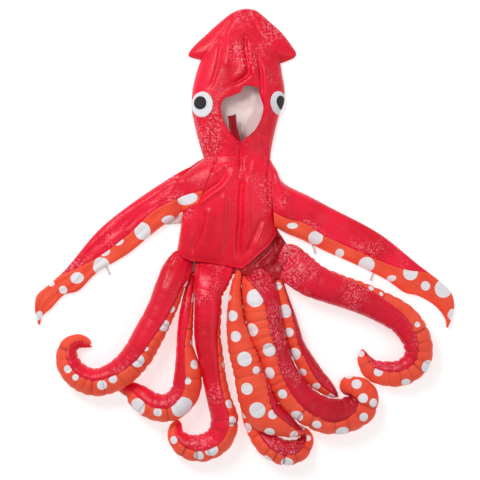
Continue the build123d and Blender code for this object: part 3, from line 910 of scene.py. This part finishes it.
def make_sleeve(side, shape):
    """The red and the orange upper cloth and the under ply. The red one ends at the border."""
    columns, rows = 210, 52
    upper = spline(shape["upper"], columns)
    lower = spline(shape["lower"], columns)
    cut = np.clip(border_shares(upper, lower, shape["border"]), -1, 1)
    met = int(np.argmax(cut < 0.015)) if (cut < 0.015).any() else columns
    cut[met:] = 0.0
    body, sign = "sleeve_" + side, shape["sign"]
    joint = ("tunic", *shape["blend"])
    along = np.linspace(0, 1, columns)
    down = np.linspace(0, 1, rows)[:, None]
    width = np.linalg.norm(upper - lower, axis=1)

    def top_cloth(part, high_share, low_share, stop, material, *shown):
        across = (high_share * (1 - down) + low_share * down)[:, :stop]
        x, y = between(upper[:stop], lower[:stop], across)
        z = sleeve_height(x, y, across, np.broadcast_to(along[:stop], x.shape), sign)
        groove = np.abs(across - cut[:stop]) * width[:stop]
        z = z - 2.2 * np.exp(-(groove / 3.5) ** 2) * arch(2 * across - 1, 4.0)
        shares = {key: spot_depth(x, y, shape["spots"]) for key in shown}
        return grid(f"{body}_{part}_cloth", (x, y, z), material, flip=sign > 0, thickness=1.5, **shares)

    red = top_cloth("red", np.zeros(columns), cut, met + 1, SATIN)
    attach(red, body, "red_satin", body + "_top", joint=joint)
    orange = top_cloth("orange", cut, np.ones(columns), columns, SPOTTED, "spot")
    attach(orange, body, "orange_print", joint=joint)
    x, y = between(upper, lower, down)
    z = 1.6 + 3.6 * np.abs(2 * down - 1) ** 10 + 0.5 * ripple(x, y, 30, 21.0)
    under = grid(body + "_under_cloth", (x, y, z), SATIN, flip=sign < 0, thickness=0.8, offset=1.0)
    attach(under, body, "red_satin", body + "_under", joint=joint)


# ---- tentacles
# "inside" is 1 when a tentacle curls to its left. "root" is where it is sewn, m, and "parent"
# the body that it hangs on, if not the tunic. A "front" one is pleated where it is sewn.
# Each station: x, y, width, lowest z, height, lean. Lean is the way that the middle of the
# red side faces: 0 degrees to the inside of the curl, 90 straight up, below 0 down.
# Each spot: x, y, radius.
TENTACLES = {
    "a": {"inside": -1, "root": (-0.184, -0.060), "front": True, "stations": [
        (-178, -52, 52, 6, 14, 90), (-191, -72, 74, 6, 27, 86), (-205, -102, 88, 3, 56, 76),
        (-224, -148, 88, 1, 76, 60), (-249, -215, 88, 1, 80, 42), (-284, -286, 92, 1, 84, 24),
        (-332, -367, 92, 1, 84, 8), (-392, -419, 88, 1, 78, -8), (-452, -435, 84, 1, 74, -12),
        (-505, -412, 78, 1, 68, -10), (-533, -370, 70, 1, 60, -6), (-529, -330, 56, 1, 46, -2),
        (-502, -314, 45, 1, 32, 6), (-478, -320, 33, 1, 20, 14), (-462, -332, 10, 2, 10, 20)],
        "spots": [(-177, -135, 15), (-218, -216, 11), (-239, -264, 18), (-298, -327, 8), (-318, -366, 20),
            (-393, -423, 13), (-426, -441, 15), (-504, -417, 10), (-528, -393, 12)]},
    "b": {"inside": -1, "root": (-0.156, -0.112), "stations": [
        (-158, -112, 16, 6, 14, 60), (-165, -152, 28, 2, 34, 50), (-171, -190, 36, 1, 52, 40),
        (-176, -235, 44, 1, 62, 30), (-180, -285, 48, 1, 66, 15), (-181, -325, 50, 1, 70, 4),
        (-175, -370, 68, 1, 76, -8), (-171, -418, 86, 1, 78, -10), (-182, -471, 88, 1, 78, -8),
        (-223, -509, 86, 1, 78, -4), (-278, -506, 82, 1, 70, 0), (-318, -480, 74, 1, 50, 0),
        (-345, -463, 56, 1, 30, 0), (-368, -461, 28, 1, 18, 0), (-382, -463, 9, 1, 10, 0)],
        "spots": [(-168, -177, 15), (-183, -508, 33), (-322, -508, 26), (-261, -522, 13), (-150, -378, 14),
            (-172, -426, 11), (-159, -315, 8)]},
    "c": {"inside": -1, "root": (-0.088, -0.084), "front": True, "stations": [
        (-88, -66, 112, 8, 20, 90), (-91, -90, 120, 6, 34, 90), (-99, -124, 110, 3, 62, 86),
        (-109, -172, 86, 2, 78, 78), (-111, -230, 82, 1, 82, 66), (-112, -300, 80, 1, 82, 54),
        (-102, -360, 77, 1, 82, 40), (-91, -425, 72, 1, 80, 32), (-76, -490, 74, 1, 80, 28),
        (-61, -550, 84, 1, 80, 22), (-79, -605, 84, 1, 76, 14), (-129, -632, 84, 1, 70, 8),
        (-181, -624, 72, 1, 60, 4), (-208, -592, 52, 1, 44, 0), (-205, -560, 30, 1, 24, 0),
        (-204, -548, 12, 1, 12, 0)],
        "spots": [(-39, -546, 15), (-99, -633, 20), (-138, -652, 15), (-214, -606, 12), (-47, -496, 13),
            (-60, -380, 10)]},
    "d": {"inside": 1, "parent": "tentacle_e", "root": (-0.028, -0.112), "stations": [
        (-18, -96, 14, 20, 10, -60), (-20, -114, 22, 26, 16, -60), (-27, -152, 33, 26, 42, -64),
        (-29, -190, 42, 26, 57, -68), (-27, -240, 52, 26, 63, -72), (-21, -290, 67, 26, 65, -76),
        (-10, -335, 82, 26, 67, -78), (6, -385, 90, 26, 69, -78), (21, -440, 100, 26, 69, -70),
        (38, -492, 110, 26, 67, -50), (66, -533, 104, 27, 62, -32), (110, -559, 78, 27, 52, -22),
        (150, -579, 45, 27, 34, -18), (177, -587, 15, 27, 16, -20)],
        "spots": [(-39, -234, 16), (-27, -296, 16), (-3, -363, 22), (34, -396, 12), (6, -450, 18),
            (36, -513, 24), (82, -527, 14), (72, -580, 16), (144, -590, 13), (-48, -180, 10)]},
    "e": {"inside": 1, "root": (-0.028, -0.112), "stations": [
        (-28, -124, 18, 14, 10, 0), (-33, -170, 26, 1, 22, 0), (-36, -240, 40, 1, 24, 0),
        (-26, -310, 54, 1, 24, 0), (-2, -385, 60, 1, 24, 0), (14, -460, 60, 1, 24, 0),
        (22, -525, 68, 1, 25, 0), (40, -584, 67, 1, 42, 0), (74, -625, 76, 1, 66, 6),
        (119, -646, 78, 1, 68, 8), (164, -636, 68, 1, 60, 4), (185, -604, 42, 1, 26, 0),
        (168, -580, 26, 1, 20, 0), (144, -566, 12, 1, 14, 0)],
        "spots": [(6, -573, 15), (126, -675, 19), (66, -668, 15), (188, -604, 10)]},
    "f": {"inside": 1, "root": (0.040, -0.096), "front": True, "stations": [
        (30, -80, 80, 6, 16, 84), (35, -106, 92, 6, 30, 66), (39, -138, 102, 3, 64, 26),
        (45, -180, 110, 2, 82, -6), (54, -232, 112, 1, 88, -12), (66, -286, 110, 1, 88, -12),
        (84, -336, 98, 1, 86, -8), (101, -390, 96, 1, 86, -2), (126, -442, 102, 1, 86, 2),
        (162, -489, 107, 1, 86, 6), (208, -521, 107, 1, 84, 12), (256, -537, 108, 1, 82, 16),
        (305, -533, 106, 1, 76, 6), (347, -507, 101, 1, 66, -16), (353, -470, 88, 1, 58, -38),
        (322, -449, 66, 1, 50, -52), (284, -450, 44, 1, 34, -60)],
        "spots": [(27, -180, 27), (20, -277, 20), (72, -336, 20), (70, -403, 18), (112, -466, 15),
            (152, -534, 19), (214, -560, 14), (288, -582, 20), (356, -538, 14), (384, -495, 14),
            (350, -480, 15), (333, -440, 15)]},
    "g": {"inside": 1, "root": (0.098, -0.112), "stations": [
        (99, -108, 28, 8, 14, -60), (105, -150, 32, 2, 36, -58), (114, -190, 41, 1, 46, -52),
        (126, -230, 46, 1, 52, -42), (139, -275, 50, 1, 54, -28), (155, -325, 50, 1, 56, -16),
        (181, -376, 59, 1, 58, -8), (208, -418, 62, 1, 52, 0), (237, -446, 52, 1, 38, 10),
        (262, -468, 34, 1, 24, 10), (281, -482, 12, 1, 12, 10)],
        "spots": [(99, -146, 12), (120, -222, 20), (132, -285, 14), (148, -348, 18), (172, -405, 12),
            (214, -446, 12)]},
    "h": {"inside": -1, "root": (0.128, -0.074), "front": True, "stations": [
        (98, -68, 86, 6, 14, 90), (123, -70, 106, 5, 33, 90), (152, -93, 114, 3, 66, 88),
        (200, -128, 106, 2, 82, 82), (256, -151, 97, 1, 86, 74), (330, -176, 94, 1, 84, 58),
        (406, -208, 93, 1, 80, 34), (478, -252, 93, 1, 76, 12), (517, -317, 88, 1, 72, -2),
        (514, -373, 84, 1, 66, -10), (470, -407, 80, 1, 58, -12), (422, -410, 75, 1, 50, -12),
        (380, -397, 64, 1, 40, -20), (358, -366, 42, 1, 26, -30), (354, -338, 14, 1, 12, -30)],
        "spots": [(546, -384, 20), (483, -436, 14), (398, -402, 14), (350, -352, 10), (512, -262, 9),
            (378, -150, 9), (408, -168, 7)]},
}
# The tentacles that lie in shade get the satin copies with painted shade.
TENTACLE_SATIN = {"d": SATIN_WITH_PAINTED_SHADE, "e": SATIN_WITH_PAINTED_SHADE, "f": SATIN_WITH_PAINTED_SHADE, "g": SATIN_WITH_PAINTED_SHADE, "h": SATIN_WITH_HALF_PAINTED_SHADE}
ROUND = 64            # points around a tentacle
ROOT_Z = 0.03         # height of the bend at a tentacle's root, m
ROOT_BEND = 0.05      # length of that bend, m
TURNS = np.random.default_rng(11)


def gathers(run, bend, gap, share):
    """Depth of the creases across a seam that lie about gap apart, deeper where it bends."""
    stops = [0.0]
    while stops[-1] < run[-1] + gap:
        stops.append(stops[-1] + gap * TURNS.uniform(0.7, 1.35))
    stops = np.array(stops)
    k = np.clip(np.searchsorted(stops, run, "right") - 1, 0, len(stops) - 2)
    inner = (run - stops[k]) / (stops[k + 1] - stops[k])
    depth = TURNS.uniform(0.35, 1.0, len(stops))
    left, right = depth[k], depth[k + 1]
    puff = np.clip(np.sin(math.pi * inner), 0, 1) ** 0.42
    strength = np.where(inner < 0.5, left, right)
    return (1 - puff) * strength * (share + bend)


def make_tentacle(letter, shape):
    """The two skins of a stuffed tentacle: the red back and the spotted belly."""
    path = spline(shape["stations"])
    plan = path[:, :2]
    run = run_along(plan)
    ahead = np.gradient(plan, axis=0)
    ahead /= np.linalg.norm(ahead, axis=1)[:, None]
    inward = np.stack([-ahead[:, 1], ahead[:, 0]], 1) * shape["inside"]
    turn = np.gradient(np.unwrap(np.arctan2(ahead[:, 1], ahead[:, 0]))) / STEP * 1000
    bend = np.convolve(np.clip(np.abs(turn), 0, 14) / 14, np.ones(9) / 9, "same")
    width, low, high, lean = path[:, 2], path[:, 3], path[:, 4], np.radians(path[:, 5])
    tip = np.clip((run[-1] - run) / 16, 0, 1)
    end = np.sqrt(np.clip(1 - (1 - tip) ** 2, 0.02, 1))
    seed = float(ord(letter))
    pieces = []
    satin = TENTACLE_SATIN.get(letter, SATIN)
    for side, middle, material in (("back", lean, satin), ("belly", lean + math.pi, SPOTTED)):
        half = np.linspace(-1, 1, ROUND // 2 + 1)
        angle = middle[:, None] + half[None] * (math.pi / 2)
        edge = 1 - np.abs(half)[None]
        radius = np.ones((len(path), len(half)))
        if side == "belly":
            crease = gathers(run, 0.5 * bend, 26, 0.95)[:, None] * (0.55 + 0.45 * (1 - edge) ** 0.6)
            minor = gathers(run, bend, 12, 0.4)[:, None] * (1 - edge) ** 1.2
            radius -= 0.15 * crease + 0.05 * minor
        else:
            crease = gathers(run, 1.5 * bend, 30, 0.20)[:, None] * (0.35 + 0.65 * edge)
            radius -= 0.12 * crease
        radius -= 0.085 * np.exp(-(edge / 0.055) ** 2)
        around = 40 * np.cos(angle) + 90 * np.sin(angle)
        radius += 0.022 * ripple(run[:, None] + 0 * angle, around, 30, seed)
        if shape.get("front"):
            radius += 0.075 * np.sin(angle * 11 + seed) * np.exp(-run / 55)[:, None]
        across = np.cos(angle) * radius * (width / 2 * end)[:, None]
        up = np.sin(angle) * radius
        up = np.where(up < 0, np.sign(up) * np.abs(up) ** 0.8, up)
        z = low[:, None] + (high / 2)[:, None] + up * (high / 2 * end)[:, None]
        z = np.maximum(z, FLOOR_CLEAR + 0.25 * (1 + up))
        xy = plan[:, None] + inward[:, None] * across[..., None]
        cloth = np.stack(np.broadcast_arrays(run[:, None], angle * (width / 2)[:, None]), -1)
        points = np.concatenate([xy, z[..., None]], -1)
        shares = {"crease": crease}
        if side == "belly":
            shares["spot"] = tentacle_spots(points, shape["spots"], run)
        pieces.append(grid(f"tentacle_{letter}_{side}_skin", points.transpose(2, 0, 1), material, cloth,
                           flip=shape["inside"] > 0, **shares))
    back, belly = pieces
    body = "tentacle_" + letter
    x, y = shape["root"]
    down = ahead[4]
    joint = (shape.get("parent", "tunic"), (x, y, ROOT_Z),
             (x + down[0] * ROOT_BEND, y + down[1] * ROOT_BEND, ROOT_Z))
    attach(back, body, "red_satin", body + "_back", body + "_filling", joint=joint)
    attach(belly, body, "orange_print", body + "_belly", joint=joint)


def tentacle_spots(points, spots, run):
    """Depth inside the printed spots: chosen ones on the upper side, a loose row below."""
    flat = points.reshape(-1, 3)
    centre = []
    for x, y, r in spots:
        far = np.hypot(flat[:, 0] - x, flat[:, 1] - y) - 0.35 * flat[:, 2]
        centre.append((flat[far.argmin()], r))
    rows, columns = points.shape[:2]
    for k, stop in enumerate(np.arange(60, run[-1] - 20, 58)):
        i = int(np.searchsorted(run, stop))
        for j, r in ((columns // 4, 13 + 5 * (k % 2)), (columns * 3 // 4, 17 - 5 * (k % 2))):
            p = points[min(i + 9 * (j > columns // 2), rows - 1), j]
            if p[2] < 30 and all(np.linalg.norm(p - c) > r + s + 8 for c, s in centre):
                centre.append((p, r))
    depth = np.full(len(flat), OUTSIDE)
    for c, r in centre:
        depth = np.maximum(depth, r - np.linalg.norm(flat - c, axis=1))
    return depth


HAND_LOOPS = {  # sleeve, where the ends are sewn, the fold
    "hand_loop_left": ("sleeve_left", (-421, -83), (-407, -113)),
    "hand_loop_right_upper": ("sleeve_right", (202, -16), (213, -50)),
    "hand_loop_right_lower": ("sleeve_right", (391, -100), (379, -131)),
}


def make_hand_loops():
    """Short bands of white elastic, folded in two, with both ends under the sleeve's edge."""
    band, fold = 7.0, 1.7
    for node, (body, sewn, tip) in HAND_LOOPS.items():
        sewn, tip = np.array(sewn, float), np.array(tip, float)
        reach = np.linalg.norm(tip - sewn)
        ahead = (tip - sewn) / reach
        side = np.array([-ahead[1], ahead[0]])
        turn = np.linspace(-math.pi / 2, math.pi / 2, 9)
        straight = np.linspace(0, reach - fold, 10)
        out = np.concatenate([straight, reach - fold + fold * np.cos(turn[1:-1]), straight[::-1]])
        up = np.concatenate([np.full(10, -fold), fold * np.sin(turn[1:-1]), np.full(10, fold)])
        belly = 1.2 * np.sin(math.pi * out / reach) * np.sign(up)
        across = np.linspace(-band / 2, band / 2, 6)
        plan = sewn + out[:, None, None] * ahead + across[None, :, None] * side
        z = (3.6 + up + belly)[:, None]
        loop = grid(node + "_band", (*plan.transpose(2, 0, 1), z), ELASTIC, thickness=0.9, offset=0.0)
        attach(loop, body, "elastic", node)


def make_underarm():
    """A corner of pale lining that shows between the left sleeve and the tunic."""
    x = np.array([[-186, -189, -190], [-204, -209, -211], [-222, -232, -238]], float)
    y = np.array([[72, 56, 41], [64, 50, 39], [54, 45, 37]], float)
    corner = grid("underarm_lining_corner", (x, y, 9.0), LINING_CLOTH, flip=True, thickness=1.0)
    attach(corner, "tunic", "lining")


def make_small_parts():
    """Finishes for the small sewn parts that keep their own CAD shape."""
    for node, material in {"hanger_loop": ELASTIC, "care_label": LABEL}.items():
        materials = NODES[node].data.materials
        materials.clear()
        materials.append(material)


make_camera()
make_lights()
make_floor()
make_tunic_front()
make_tunic_back()
make_hem()
make_side_panel()
make_hood_front()
make_hood_back()
make_hood_lining()
make_fin()
make_eyes()
make_chin_tab()
make_chin_closure()
for sleeve_side, sleeve_shape in SLEEVES.items():
    make_sleeve(sleeve_side, sleeve_shape)
for tentacle_letter, tentacle_shape in TENTACLES.items():
    make_tentacle(tentacle_letter, tentacle_shape)
make_hand_loops()
make_underarm()
make_small_parts()
